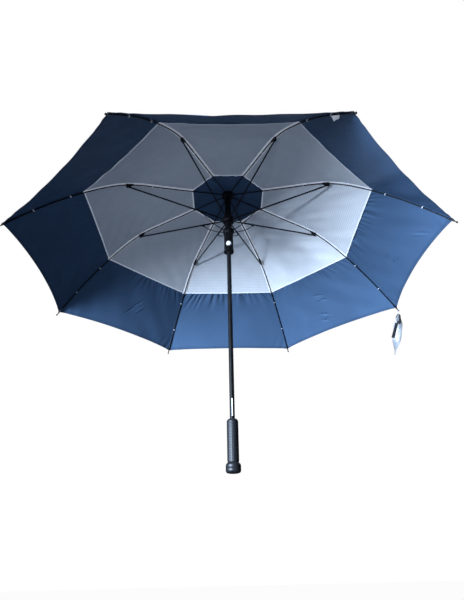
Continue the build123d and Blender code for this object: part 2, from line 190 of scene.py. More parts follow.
def navy_material(name, base=(0.047, 0.086, 0.152), light=(0.056, 0.101, 0.178), coated=None):
    """Fine woven pongee. With coated, the specular level and the sheen are lower; the coated colour itself is not used.
    """
    m, nt, out = new_material(name)
    uvn = node(nt, "ShaderNodeUVMap", uv_map="weave")
    coords = nt.nodes.new("ShaderNodeTexCoord")
    warp = node(nt, "ShaderNodeTexNoise", inputs={"Scale": 6.0, "Detail": 3.0, "Roughness": 0.55})
    link(nt, coords.outputs["Object"], warp.inputs["Vector"])
    fine = node(nt, "ShaderNodeTexNoise", inputs={"Scale": 160.0, "Detail": 2.0})
    link(nt, coords.outputs["Object"], fine.inputs["Vector"])
    col = ramp(nt, [(0.30, base), (0.72, light)])
    link(nt, warp.outputs["Fac"], col.inputs["Fac"])
    u, v = thread_waves(nt, uvn.outputs["UV"], 0.0009, 0.0007)
    weave = value_mix(nt, u, v)
    tint = node(nt, "ShaderNodeMix", data_type="RGBA", blend_type="MULTIPLY")
    tint.inputs["Factor"].default_value = 0.22
    link(nt, col.outputs["Color"], tint.inputs["A"])
    shade = ramp(nt, [(0.0, (0.72, 0.74, 0.80)), (1.0, (1.0, 1.0, 1.0))])
    link(nt, weave, shade.inputs["Fac"])
    link(nt, shade.outputs["Color"], tint.inputs["B"])
    rough = ramp(nt, [(0.3, (0.52,) * 3), (0.75, (0.62,) * 3)])
    link(nt, fine.outputs["Fac"], rough.inputs["Fac"])
    bump = node(nt, "ShaderNodeBump", inputs={"Strength": 0.10, "Distance": 0.0002})
    link(nt, weave, bump.inputs["Height"])
    bump2 = node(nt, "ShaderNodeBump", inputs={"Strength": 0.12, "Distance": 0.004})
    link(nt, warp.outputs["Fac"], bump2.inputs["Height"])
    link(nt, bump.outputs["Normal"], bump2.inputs["Normal"])
    b = principled(nt, IOR=1.50)
    b.inputs["Specular IOR Level"].default_value = 0.22 if coated else 0.30
    b.inputs["Specular Tint"].default_value = (0.45, 0.72, 1.0, 1)
    b.inputs["Sheen Weight"].default_value = 0.01 if coated else 0.02
    b.inputs["Sheen Roughness"].default_value = 0.45
    b.inputs["Sheen Tint"].default_value = (0.22, 0.45, 1.0, 1)
    link(nt, tint.outputs["Result"], b.inputs["Base Color"])
    link(nt, rough.outputs["Color"], b.inputs["Roughness"])
    link(nt, bump2.outputs["Normal"], b.inputs["Normal"])
    link(nt, b.outputs[0], out.inputs[0])
    return m


def net_material(name):
    """An open white net: the holes let the dark upper canopy show through."""
    m, nt, out = new_material(name)
    uvn = node(nt, "ShaderNodeUVMap", uv_map="weave")
    coords = nt.nodes.new("ShaderNodeTexCoord")
    u, v = thread_waves(nt, uvn.outputs["UV"], 0.0022, 0.0022)
    cell = value_mix(nt, u, v, "MAXIMUM")
    # faint bars where the net's yarns bunch, across the panel
    bars_u, bars_v = thread_waves(nt, uvn.outputs["UV"], 0.011, 0.0068)
    noise = node(nt, "ShaderNodeTexNoise", inputs={"Scale": 26.0, "Detail": 2.0})
    link(nt, coords.outputs["Object"], noise.inputs["Vector"])
    bars = value_mix(nt, bars_v, noise.outputs["Fac"])
    alpha_base = ramp(nt, [(0.0, (0.72,) * 3), (1.0, (0.93,) * 3)])
    link(nt, cell, alpha_base.inputs["Fac"])
    alpha = value_mix(nt, alpha_base.outputs["Color"], value_mix(nt, value_mix(nt, bars, 0.16), 0.90, "ADD"))
    col = ramp(nt, [(0.0, (0.80, 0.80, 0.81)), (1.0, (0.93, 0.93, 0.94))])
    link(nt, bars, col.inputs["Fac"])
    bump = node(nt, "ShaderNodeBump", inputs={"Strength": 0.12, "Distance": 0.0004})
    link(nt, cell, bump.inputs["Height"])
    b = principled(nt, Roughness=0.62, IOR=1.48)
    b.inputs["Specular IOR Level"].default_value = 0.35
    b.inputs["Sheen Weight"].default_value = 0.12
    link(nt, col.outputs["Color"], b.inputs["Base Color"])
    link(nt, alpha, b.inputs["Alpha"])
    link(nt, bump.outputs["Normal"], b.inputs["Normal"])
    link(nt, b.outputs[0], out.inputs[0])
    return m


def tape_material(name, colour=(0.82, 0.84, 0.87), dark=(0.60, 0.63, 0.68), pitch=0.0016, glow=0.0):
    m, nt, out = new_material(name)
    uvn = node(nt, "ShaderNodeUVMap", uv_map="weave")
    u, v = thread_waves(nt, uvn.outputs["UV"], pitch, pitch * 0.8)
    w = value_mix(nt, u, v)
    col = ramp(nt, [(0.0, dark), (0.8, colour)])
    link(nt, w, col.inputs["Fac"])
    bump = node(nt, "ShaderNodeBump", inputs={"Strength": 0.3, "Distance": 0.0003})
    link(nt, w, bump.inputs["Height"])
    b = principled(nt, Roughness=0.7)
    b.inputs["Sheen Weight"].default_value = 0.2
    if glow:
        # painted light: the faint glow stands in for light that comes through the thin white weave
        b.inputs["Emission Color"].default_value = (0.86, 0.90, 1.0, 1)
        b.inputs["Emission Strength"].default_value = glow
    link(nt, col.outputs["Color"], b.inputs["Base Color"])
    link(nt, bump.outputs["Normal"], b.inputs["Normal"])
    link(nt, b.outputs[0], out.inputs[0])
    return m


def hard_material(name, base, light, rough=(0.35, 0.5), metal=0.0, scale=900.0, bump_strength=0.08, bump_distance=0.0002, coat=0.0, spec=0.5, stretch=None):
    """Paint, moulded plastic or metal: mottled colour, uneven gloss and a fine relief."""
    m, nt, out = new_material(name)
    coords = nt.nodes.new("ShaderNodeTexCoord")
    vec = coords.outputs["Object"]
    if stretch:
        mp = nt.nodes.new("ShaderNodeMapping")
        mp.inputs["Scale"].default_value = stretch
        link(nt, vec, mp.inputs["Vector"])
        vec = mp.outputs["Vector"]
    broad = node(nt, "ShaderNodeTexNoise", inputs={"Scale": scale * 0.06, "Detail": 3.0})
    fine = node(nt, "ShaderNodeTexNoise", inputs={"Scale": scale, "Detail": 2.0})
    link(nt, vec, broad.inputs["Vector"])
    link(nt, vec, fine.inputs["Vector"])
    col = ramp(nt, [(0.35, base), (0.7, light)])
    link(nt, broad.outputs["Fac"], col.inputs["Fac"])
    rg = ramp(nt, [(0.3, (rough[0],) * 3), (0.7, (rough[1],) * 3)])
    link(nt, fine.outputs["Fac"], rg.inputs["Fac"])
    bump = node(nt, "ShaderNodeBump", inputs={"Strength": bump_strength, "Distance": bump_distance})
    link(nt, fine.outputs["Fac"], bump.inputs["Height"])
    b = principled(nt, Metallic=metal)
    b.inputs["Specular IOR Level"].default_value = spec
    b.inputs["Coat Weight"].default_value = coat
    link(nt, col.outputs["Color"], b.inputs["Base Color"])
    link(nt, rg.outputs["Color"], b.inputs["Roughness"])
    link(nt, bump.outputs["Normal"], b.inputs["Normal"])
    link(nt, b.outputs[0], out.inputs[0])
    return m


def grip_material(name):
    """Soft black rubber with a diamond-dimple grain."""
    m, nt, out = new_material(name)
    uvn = node(nt, "ShaderNodeUVMap", uv_map="weave")
    coords = nt.nodes.new("ShaderNodeTexCoord")
    u, v = thread_waves(nt, uvn.outputs["UV"], 0.0040, 0.0040)
    dimple = value_mix(nt, u, v)
    fine = node(nt, "ShaderNodeTexNoise", inputs={"Scale": 1500.0, "Detail": 2.0})
    link(nt, coords.outputs["Object"], fine.inputs["Vector"])
    col = ramp(nt, [(0.1, (0.006, 0.007, 0.009)), (0.9, (0.018, 0.020, 0.025))])
    link(nt, dimple, col.inputs["Fac"])
    rg = ramp(nt, [(0.2, (0.40,) * 3), (0.8, (0.54,) * 3)])
    link(nt, fine.outputs["Fac"], rg.inputs["Fac"])
    h = value_mix(nt, dimple, value_mix(nt, fine.outputs["Fac"], 0.18), "ADD")
    bump = node(nt, "ShaderNodeBump", inputs={"Strength": 0.55, "Distance": 0.0007})
    link(nt, h, bump.inputs["Height"])
    b = principled(nt)
    b.inputs["Specular IOR Level"].default_value = 0.5
    link(nt, col.outputs["Color"], b.inputs["Base Color"])
    link(nt, rg.outputs["Color"], b.inputs["Roughness"])
    link(nt, bump.outputs["Normal"], b.inputs["Normal"])
    link(nt, b.outputs[0], out.inputs[0])
    return m


NAVY = navy_material("navy_pongee")
NAVY_HEM = navy_material("navy_hem", (0.037, 0.068, 0.120), (0.046, 0.084, 0.148))
NAVY_TOP = navy_material("navy_pongee_coated", coated=(0.010, 0.016, 0.031))
NET = net_material("white_net")
# the binding and the thread glow faintly: painted light, standing in for light through the thin white weave
TAPE = tape_material("white_binding", (0.95, 0.96, 0.98), (0.78, 0.80, 0.84), glow=0.20)
THREAD = tape_material("white_thread", (0.85, 0.86, 0.88), (0.66, 0.68, 0.72), 0.0007, glow=0.10)
STEEL = hard_material("black_enamel", (0.0035, 0.0035, 0.004), (0.007, 0.007, 0.008), (0.30, 0.46), spec=0.22)
FIBRE = hard_material("black_glass_fibre", (0.0035, 0.0035, 0.004), (0.008, 0.008, 0.009), (0.36, 0.52), spec=0.16, stretch=(1, 1, 0.2))
PLASTIC = hard_material("black_moulding", (0.003, 0.003, 0.004), (0.007, 0.007, 0.008), (0.38, 0.54), spec=0.16)
SPRING = hard_material("spring_wire", (0.42, 0.43, 0.45), (0.60, 0.61, 0.63), (0.22, 0.36), metal=1.0)
# near-white gloss: the push button's own white; on the lower catch it is a painted highlight
WHITE_GLOSS_AND_PAINTED_SHINE = hard_material("bright_button", (0.90, 0.91, 0.92), (0.96, 0.96, 0.97), (0.14, 0.24), coat=0.4, spec=0.8)
CARD = hard_material("tag_card", (0.36, 0.36, 0.35), (0.44, 0.43, 0.41), (0.30, 0.50), coat=0.1)
CARD_DARK = hard_material("tag_card_dark", (0.006, 0.006, 0.007), (0.014, 0.014, 0.015), (0.35, 0.52), spec=0.2)
SLEEVE = hard_material("tag_sleeve_film", (0.20, 0.21, 0.23), (0.52, 0.52, 0.51), (0.14, 0.28), scale=420.0, coat=0.3, stretch=(1, 1, 0.35))
RED = hard_material("tag_spot_red", (0.55, 0.015, 0.015), (0.70, 0.03, 0.025), (0.35, 0.5))
NYLON = hard_material("nylon_loop", (0.30, 0.29, 0.28), (0.48, 0.46, 0.44), (0.25, 0.40))
GRIP = grip_material("grip_rubber")


# ------------------------------------------------------------------ mesh helpers
def mesh_object(name, vertices, faces, materials, body, uvs=None, face_material=None, smooth_faces=True):
    me = bpy.data.meshes.new(name)
    me.from_pydata([tuple(v) for v in vertices], [], faces)
    me.update()
    if uvs is not None:
        layer = me.uv_layers.new(name="weave")
        for loop in me.loops:
            layer.data[loop.index].uv = uvs[loop.vertex_index]
    for m in materials:
        me.materials.append(m)
    if face_material is not None:
        for p, i in zip(me.polygons, face_material):
            p.material_index = i
    for p in me.polygons:
        p.use_smooth = smooth_faces
    o = bpy.data.objects.new(name, me)
    scene.collection.objects.link(o)
    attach(o, body)
    return o


def revolve(name, profile, body, material, segments=64, uv_scale=None):
    """A turned piece about the shaft: profile is (radius, height)."""
    verts, faces, uvs = [], [], []
    n = len(profile)
    along = [0.0]
    for (r0, z0), (r1, z1) in zip(profile, profile[1:]):
        along.append(along[-1] + math.hypot(r1 - r0, z1 - z0))
    for i, (r, z) in enumerate(profile):
        for s in range(segments + 1):
            a = 2 * math.pi * s / segments
            verts.append((r * math.cos(a), r * math.sin(a), z))
            uvs.append((a * 0.0152, along[i]))
    w = segments + 1
    for i in range(n - 1):
        for s in range(segments):
            faces.append((i * w + s, i * w + s + 1, (i + 1) * w + s + 1, (i + 1) * w + s))
    o = mesh_object(name, verts, faces, [material], body, uvs)
    bm = bmesh.new()
    bm.from_mesh(o.data)
    bmesh.ops.recalc_face_normals(bm, faces=bm.faces)
    bm.to_mesh(o.data)
    bm.free()
    return o


# ------------------------------------------------------------------ the fabric's surface
# A panel lies between rib k and rib k+1. v runs from 0 on rib k to 1 on rib k+1, r is the station along the ribs.
KNOT_R = np.array([p[0] for p in RIB_LINE])
KNOT_Z = np.array([p[1] for p in RIB_LINE])
KNOT_M = np.array(CURVE)


def heights(r):
    i = np.clip(np.searchsorted(KNOT_R, r, side="left") - 1, 0, len(KNOT_R) - 2)
    x0, x1 = KNOT_R[i], KNOT_R[i + 1]
    h = x1 - x0
    t = np.clip(r, x0, x1)
    return (
        KNOT_M[i] * (x1 - t) ** 3 / (6 * h)
        + KNOT_M[i + 1] * (t - x0) ** 3 / (6 * h)
        + (KNOT_Z[i] / h - KNOT_M[i] * h / 6) * (x1 - t)
        + (KNOT_Z[i + 1] / h - KNOT_M[i + 1] * h / 6) * (t - x0)
    )


def ease(a, b, x):
    t = np.clip((x - a) / (b - a), 0.0, 1.0)
    return t * t * (3 - 2 * t)


# gathers under the seam: (place along the seam, half-width, length, height, lean)
GATHER = {0: 0.30, 1: 0.30, 2: 0.75, 3: 0.65, 4: 1.15, 5: 0.34, 6: 0.30, 7: 0.30}
GATHERS, RIPPLES = {}, {}
for p_index in range(RIBS):
    rng = random.Random(40 + p_index)
    rows = []
    x = 0.035
    while x < 0.965:
        rows.append((x, rng.uniform(0.0044, 0.0075), rng.uniform(0.034, 0.078), rng.uniform(0.55, 1.0) * (1 if rng.random() < 0.8 else -0.6), (x - 0.5) * 1.5 + rng.uniform(-0.25, 0.25)))
        x += rng.uniform(0.030, 0.055)
    GATHERS[p_index] = rows
    RIPPLES[p_index] = [(rng.uniform(1.5, 5.0), rng.uniform(4, 14), rng.uniform(0, 6.28), rng.uniform(0.5, 1.0)) for _ in range(7)]

# single creases: (panel, v, r, direction in degrees from the rib's line, length, half-width, height)
CREASES = [
    (3, 0.50, 0.535, -74, 0.034, 0.0030, 0.0030),
    (3, 0.52, 0.546, -78, 0.026, 0.0028, -0.0024),
    (3, 0.47, 0.553, -71, 0.030, 0.0030, 0.0026),
    (3, 0.54, 0.592, -75, 0.030, 0.0030, 0.0030),
    (3, 0.52, 0.602, -78, 0.026, 0.0028, -0.0024),
    (3, 0.56, 0.610, -71, 0.028, 0.0028, 0.0028),
    (2, 0.60, 0.572, 62, 0.032, 0.0030, 0.0028),
    (2, 0.57, 0.582, 64, 0.028, 0.0028, -0.0022),
    (2, 0.63, 0.565, 58, 0.024, 0.0026, 0.0022),
    (2, 0.55, 0.594, 66, 0.026, 0.0028, 0.0024),
    (2, 0.20, 0.612, -35, 0.034, 0.0028, 0.0018),
    (2, 0.24, 0.604, -38, 0.030, 0.0028, -0.0014),
    (5, 0.46, 0.550, 38, 0.046, 0.0036, 0.0016),
    (5, 0.42, 0.566, 36, 0.050, 0.0036, -0.0014),
    (5, 0.50, 0.575, 40, 0.040, 0.0034, 0.0016),
    (7, 0.48, 0.560, 20, 0.040, 0.0040, 0.0009),
]


def fabric(kind, panel, v, r):
    """Points of the net, the lower canopy or the upper canopy, as rows of x, y, z."""
    v, r = np.broadcast_arrays(np.asarray(v, float), np.asarray(r, float))
    lift = FLAP_LIFT if kind == "upper" else NET_LIFT
    mid = 4 * v * (1 - v)
    s = (heights(r + 0.0005) - heights(r - 0.0005)) / 0.001
    up = 1 / np.sqrt(1 + s * s)
    rr, z = r - s * up * lift, heights(r) + up * lift
    a, b = theta(panel), theta(panel + 1)
    m = (a + b) / 2
    nx, ny, nz = -s * math.cos(m), -s * math.sin(m), np.ones_like(s)
    nl = np.sqrt(nx * nx + ny * ny + nz * nz)
    chord = 2 * r * math.sin(HALF)
    if kind == "lower":
        d = -0.0065 * mid * (0.55 + 0.45 * ease(SEAM, 0.60, r))
        g = np.zeros_like(d)
        for at, half, long, high, lean in GATHERS[panel]:
            along = r - SEAM
            x = (v - at) * chord - lean * along
            w = half * (0.75 + 0.9 * along / 0.05)
            g += high * np.exp(-((x / w) ** 2)) * ease(-0.001, 0.005, along) * np.clip(1 - along / long, 0, 1) ** 1.2
        d += GATHER[panel] * 0.0062 * g
        for q, cv, cr, deg, long, half, high in CREASES:
            if q != panel:
                continue
            x, y = (v - cv) * chord, (r - cr) * 1.35
            c, sn = math.cos(math.radians(deg)), math.sin(math.radians(deg))
            t, w = y * c + x * sn, x * c - y * sn
            d += high * np.exp(-((t / (long / 2)) ** 2)) * np.exp(-((w / half) ** 2))
        for f, fr, ph, amp in RIPPLES[panel]:
            d += 0.00042 * amp * np.sin(2 * math.pi * f * v + fr * r * 6 + ph) * ease(0.05, 0.6, mid)
        tip = ease(0.600, 0.645, r) * (np.exp(-((v / 0.10) ** 2)) + np.exp(-(((1 - v) / 0.10) ** 2)))
        d += 0.0007 * tip * np.sin(95 * np.abs(v - 0.5) + 150 * r) * ease(0.0, 0.08, mid)
    elif kind == "net":
        d = -0.0050 * mid * ease(NET_INNER, 0.30, r)
        for f, fr, ph, amp in RIPPLES[panel]:
            d += 0.00035 * amp * np.sin(2 * math.pi * f * v + fr * r * 9 + ph) * ease(0.05, 0.6, mid)
    else:
        d = -0.0040 * mid * ease(0.05, 0.30, r)
        fan = np.exp(-((r - 0.020) / 0.080)) * ease(0.018, 0.045, r)
        ph0 = RIPPLES[panel][0][2]
        d += 0.0016 * fan * (np.sin(2 * math.pi * 3 * v + ph0) + 0.5 * np.sin(2 * math.pi * 5 * v + 2 * ph0)) * ease(0, 0.25, mid)
        for f, fr, ph, amp in RIPPLES[panel]:
            d += 0.00045 * amp * np.sin(2 * math.pi * f * v + fr * r * 7 + ph) * ease(0.05, 0.6, mid) * ease(0.03, 0.2, r)
    x = rr * ((1 - v) * math.cos(a) + v * math.cos(b)) + d * nx / nl
    y = rr * ((1 - v) * math.sin(a) + v * math.sin(b)) + d * ny / nl
    return np.stack([x, y, z + d * nz / nl], axis=-1)


def hem_inset(v, curve):
    """How far the hem stands back at v: a shallow arc that turns in quickly near the tips."""
    mid = np.clip(4 * v * (1 - v), 0, 1)
    return curve * (0.62 * mid + 0.38 * mid**0.45)


def chord_dir_perp(k, side, r0, r1):
    """A direction across the rib's own line, towards the panel's middle line."""
    t = theta(k)
    out = Vector((math.cos(t), math.sin(t), 0))
    tan = Vector((-math.sin(t), math.cos(t), 0)) * side
    along = out * (r1 - r0) + Vector((0, 0, rib_z(r1) - rib_z(r0)))
    along.normalize()
    d = tan * math.cos(HALF) - out * math.sin(HALF)
    d -= along * d.dot(along)
    return d.normalized()


def cloth_piece(name, kind, k, side, r0, r1, body, materials, rows, cols, curve=0.0, band=None, replaces=()):
    """Half a panel, from rib k's line to the panel's middle line. It rides on the rib."""
    panel = (k if side > 0 else k - 1) % RIBS
    w = 0.5 * np.arange(cols + 1) / cols
    v = w if side > 0 else 1 - w
    t = np.arange(rows + 1) / rows
    if band:
        # closer rows at the seam and at the hem
        t = 0.5 * t + 0.5 * t**1.5
    vv = np.broadcast_to(v, (rows + 1, cols + 1))
    tt = np.broadcast_to(t[:, None], (rows + 1, cols + 1))
    rr = r0 + (r1 - r0) * tt
    if curve:
        rr = rr - hem_inset(vv, curve) * tt
    p = fabric(kind, panel, vv, rr)
    e = 0.0006
    dr = fabric(kind, panel, vv, rr + e) - fabric(kind, panel, vv, rr - e)
    dv = fabric(kind, panel, vv + 0.002, rr) - fabric(kind, panel, vv - 0.002, rr)
    n = np.cross(dr, dv)
    n /= np.linalg.norm(n, axis=-1, keepdims=True)
    n *= np.where(n[..., 2:3] < 0, -1.0, 1.0)
    index = np.arange((rows + 1) * (cols + 1)).reshape(rows + 1, cols + 1)
    quads = np.stack([index[:-1, :-1], index[1:, :-1], index[1:, 1:], index[:-1, 1:]], axis=-1).reshape(-1, 4)
    flat = p.reshape(-1, 3)
    q = quads[len(quads) // 2]
    if np.cross(flat[q[1]] - flat[q[0]], flat[q[2]] - flat[q[1]])[2] < 0:
        quads = quads[:, ::-1]
    chord = 2 * rr * math.sin(HALF)
    uv = np.stack([chord * (vv - 0.5), rr * 1.15], axis=-1).reshape(-1, 2)
    fm = None
    if band:
        row_r = ((t[:-1] + t[1:]) / 2) * (r1 - r0)
        fm = np.repeat((row_r > (r1 - r0) - band).astype(int), cols).tolist()
    o = mesh_object(name, flat.tolist(), quads.tolist(), materials, body, uv.tolist(), fm)
    o.data.normals_split_custom_set_from_vertices(n.reshape(-1, 3).tolist())
    tuple(chord_dir_perp(k, side, r0, r1))
    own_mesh(o)
    if replaces:
        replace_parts(o, *replaces)
    return o


# ------------------------------------------------------------------ bindings and stitching
def rib_strip(name, k, r0, r1, width, lift, body, material, steps, edge=None):
    """A narrow tape along a rib, under the fabric."""
    t = theta(k)
    out = Vector((math.cos(t), math.sin(t), 0))
    tan = Vector((-math.sin(t), math.cos(t), 0))
    verts, faces, uvs = [], [], []
    cross = (-1.0, -0.55, 0.0, 0.55, 1.0)
    for i in range(steps + 1):
        r = r0 + (r1 - r0) * i / steps
        rr, z = lifted(r, lift)
        s = rib_slope(r)
        nrm = (out * -s + Vector((0, 0, 1))).normalized()
        for c in cross:
            droop = 0.0004 * (abs(c) ** 2) * (1 + 0.6 * math.sin(r * 310 + c * 2))
            # the fabric falls away from the rib's line on both sides
            fall = abs(c) * width / 2 * 0.40 * 0.22
            wob = 0.00035 * math.sin(r * 240 + 1.7 * k + c)
            p = out * rr + Vector((0, 0, z)) + tan * (c * width / 2 + wob) - nrm * (droop + fall)
            verts.append(p)
            uvs.append((c * width / 2, r * 1.15))
    w = len(cross)
    for i in range(steps):
        for j in range(w - 1):
            faces.append((i * w + j, i * w + j + 1, (i + 1) * w + j + 1, (i + 1) * w + j))
    o = mesh_object(name, verts, faces, [material], body, uvs)
    sol = o.modifiers.new("thick", "SOLIDIFY")
    sol.thickness = 0.0005
    sol.offset = 0
    return o


def seam_strip(name, k, side, r, width, kind, body, material, drop, r0=None, r1=None):
    """A tape across half a panel at station r."""
    panel = (k if side > 0 else k - 1) % RIBS
    cols = 40
    w = 0.5 * np.arange(cols + 1) / cols
    v = w if side > 0 else 1 - w
    off = np.array([-0.5, -0.2, 0.2, 0.5])
    vv = np.broadcast_to(v, (4, cols + 1))
    rr = np.broadcast_to((r + off * width)[:, None], (4, cols + 1))
    p = fabric(kind, panel, vv, rr)
    p[..., 2] -= drop + 0.00015 * (1 - np.abs(off) * 2)[:, None]
    index = np.arange(4 * (cols + 1)).reshape(4, cols + 1)
    quads = np.stack([index[:-1, :-1], index[1:, :-1], index[1:, 1:], index[:-1, 1:]], axis=-1).reshape(-1, 4)
    uv = np.stack([2 * rr * math.sin(HALF) * (vv - 0.5), np.broadcast_to((off * width)[:, None], rr.shape)], axis=-1).reshape(-1, 2)
    o = mesh_object(name, p.reshape(-1, 3).tolist(), quads.tolist(), [material], body, uv.tolist())
    tuple(chord_dir_perp(k, side, r0, r1))
    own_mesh(o)
    return o


for k in range(RIBS):
    n = k + 1
    inner, outer = f"rib_inner_{n}", f"rib_outer_{n}"
    rib_strip(f"rib_tape_in_{n}", k, NET_INNER, J_R - 0.001, 0.0125, NET_LIFT - 0.0009, inner, TAPE, 40)
    rib_strip(f"rib_tape_out_{n}", k, J_R + 0.001, SEAM + 0.002, 0.0125, NET_LIFT - 0.0009, outer, TAPE, 26)
    rib_strip(f"rib_seam_{n}", k, SEAM + 0.003, CORNER - 0.004, 0.0060, NET_LIFT - 0.0007, outer, NAVY_HEM, 46)
    for side, tag in ((1, "a"), (-1, "b")):
        first = side > 0
        seam = seam_strip(f"seam_tape_{n}{tag}", k, side, SEAM - 0.0006, 0.0028, "net", outer, TAPE, 0.0007, r0=J_R, r1=SEAM)
        eye = seam_strip(f"eye_tape_{n}{tag}", k, side, NET_INNER + 0.0020, 0.0036, "net", inner, TAPE, 0.0006, r0=NET_INNER, r1=J_R)
        cloth_piece(f"net_inner_{n}{tag}", "net", k, side, NET_INNER, J_R, inner, [NET], 16, 24, replaces=(f"vent_cover_{n}",) if first else ())
        cloth_piece(f"net_outer_{n}{tag}", "net", k, side, J_R, SEAM, outer, [NET], 12, 30)
        cloth_piece(f"canopy_{n}{tag}", "lower", k, side, SEAM, CORNER, outer, [NAVY, NAVY_HEM], 64, 90, curve=HEM_CURVE[(k if side > 0 else k - 1) % RIBS], band=0.007, replaces=(f"lower_canopy_{n}",) if first else ())
        cloth_piece(f"upper_inner_{n}{tag}", "upper", k, side, 0.0105, J_R, inner, [NAVY_TOP], 44, 30)
        cloth_piece(f"upper_outer_{n}{tag}", "upper", k, side, J_R, FLAP_EDGE, outer, [NAVY_TOP, NAVY_HEM], 22, 34, curve=0.010, band=0.007)


# ------------------------------------------------------------------ thread ties that hold the canopy to the ribs
def thread_tie(name, k, r, body, turns=4):
    """A few turns of thread round a rib, with a knot under it and a stitch up into the fabric."""
    t = theta(k)
    out = Vector((math.cos(t), math.sin(t), 0))
    tan = Vector((-math.sin(t), math.cos(t), 0))
    s = rib_slope(r)
    along = (out + Vector((0, 0, s))).normalized()
    nrm = (out * -s + Vector((0, 0, 1))).normalized()
    centre = out * r + Vector((0, 0, rib_z(r)))
    pts = []
    steps = 26
    for i in range(turns * steps + 1):
        a = 2 * math.pi * i / steps
        # an oval round the rib that reaches the fabric
        x = 2.15e-3 * math.sin(a)
        y = 2.05e-3 * math.cos(a) + (1.1e-3 * max(0.0, math.cos(a)))
        pts.append(centre + along * (-0.0011 + 0.0022 * i / (turns * steps)) + tan * x + nrm * y)
    verts, faces = [], []
    rad = 0.00038
    m = 6
    for i, p in enumerate(pts):
        d = (pts[min(i + 1, len(pts) - 1)] - pts[max(i - 1, 0)]).normalized()
        a1 = d.cross(along).normalized()
        b1 = d.cross(a1).normalized()
        for q in range(m):
            ang = 2 * math.pi * q / m
            verts.append(p + a1 * (rad * math.cos(ang)) + b1 * (rad * math.sin(ang)))
    for i in range(len(pts) - 1):
        for q in range(m):
            faces.append((i * m + q, i * m + (q + 1) % m, (i + 1) * m + (q + 1) % m, (i + 1) * m + q))
    # the knot
    kc = centre - nrm * 0.0026
    base = len(verts)
    rows, cols = 6, 8
    for i in range(rows + 1):
        la = math.pi * i / rows - math.pi / 2
        for j in range(cols):
            lo = 2 * math.pi * j / cols
            rr = 0.00105 * (1 + 0.12 * math.sin(3 * lo + 2 * la))
            verts.append(kc + tan * (rr * math.cos(la) * math.cos(lo)) + along * (1.2 * rr * math.cos(la) * math.sin(lo)) + nrm * (0.8 * rr * math.sin(la)))
    for i in range(rows):
        for j in range(cols):
            faces.append((base + i * cols + j, base + i * cols + (j + 1) % cols, base + (i + 1) * cols + (j + 1) % cols, base + (i + 1) * cols + j))
    uvs = [(v.x, v.y) for v in verts]
    return mesh_object(name, verts, faces, [THREAD], body, uvs)


for k in range(RIBS):
    n = k + 1
    thread_tie(f"tie_low_{n}", k, 0.497, f"rib_outer_{n}")
    thread_tie(f"tie_tip_{n}", k, 0.585, f"rib_outer_{n}")
    thread_tie(f"tie_net_{n}", k, 0.262, f"rib_inner_{n}", 3)


# ------------------------------------------------------------------ grip and butt
def grip_profile():
    pts = [(0.0068, 0.0254), (0.0142, 0.0254), (0.0146, 0.0262), (0.0146, 0.0276), (0.0150, 0.0288)]
    z = 0.0300
    while z < 0.1288:
        pts.append((0.0152, z))
        z += 0.0040
    for i in range(13):
        a = math.pi / 2 * i / 12
        pts.append((0.0072 + 0.0080 * math.cos(a), 0.1288 + 0.0082 * math.sin(a)))
    pts.append((0.0068, 0.1370))
    return pts


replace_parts(revolve("grip_sleeve", grip_profile(), "shaft_assembly", GRIP, 72), "grip")
butt_profile = [(0.0, 0.0), (0.0120, 0.0), (0.0145, 0.0001), (0.0162, 0.0006), (0.0177, 0.0016), (0.0187, 0.0029), (0.0193, 0.0044), (0.0195, 0.0060), (0.0195, 0.0115), (0.0192, 0.0118), (0.0192, 0.0124), (0.0195, 0.0127), (0.0195, 0.0180), (0.0192, 0.0195), (0.0186, 0.0209), (0.0176, 0.0224), (0.0165, 0.0234), (0.0153, 0.0243), (0.0144, 0.0251), (0.0068, 0.0252)]
BUTT = hard_material("butt_rubber", (0.006, 0.007, 0.009), (0.014, 0.015, 0.018), (0.36, 0.52), scale=1200.0, bump_strength=0.2)
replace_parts(revolve("butt_end", butt_profile, "shaft_assembly", BUTT, 72), "butt_cap")

# ------------------------------------------------------------------ runner's button
def button_dome():
    """A polished round push button, domed, set in the runner's front."""
    verts, faces, uvs = [], [], []
    seg = 48
    profile = [(0.0080, -0.0098), (0.0080, -0.0152), (0.0078, -0.0160)]
    for i in range(1, 13):
        a = math.pi / 2 * i / 12
        profile.append((0.0078 * math.cos(a), -0.0160 - 0.0042 * math.sin(a)))
    profile[-1] = (0.0001, -0.0202)
    for r, y in profile:
        for q in range(seg):
            a = 2 * math.pi * q / seg
            verts.append((r * math.cos(a), y, 0.6985 + r * math.sin(a)))
            uvs.append((r * math.cos(a), r * math.sin(a)))
    for i in range(len(profile) - 1):
        for q in range(seg):
            faces.append((i * seg + q, i * seg + (q + 1) % seg, (i + 1) * seg + (q + 1) % seg, (i + 1) * seg + q))
    o = mesh_object("button_dome", verts, faces, [WHITE_GLOSS_AND_PAINTED_SHINE], "button", uvs)
    bm = bmesh.new()
    bm.from_mesh(o.data)
    bmesh.ops.recalc_face_normals(bm, faces=bm.faces)
    bm.to_mesh(o.data)
    bm.free()
    return o


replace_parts(button_dome(), "runner_button")

# ------------------------------------------------------------------ hang tags
TAG_T = theta(3)
TAG_OUT = Vector((math.cos(TAG_T), math.sin(TAG_T), 0))
TAG_TAN = Vector((-math.sin(TAG_T), math.cos(TAG_T), 0))
LOOP_R, LOOP_Z, HOLE_Z = 0.6551664, 0.5910632, 0.5700632
LEAN = math.radians(24)
HANG = TAG_TAN * math.sin(LEAN) - Vector((0, 0, math.cos(LEAN)))
ACROSS = TAG_TAN * math.cos(LEAN) + Vector((0, 0, math.sin(LEAN)))
HOLE = TAG_OUT * LOOP_R + Vector((0, 0, HOLE_Z))


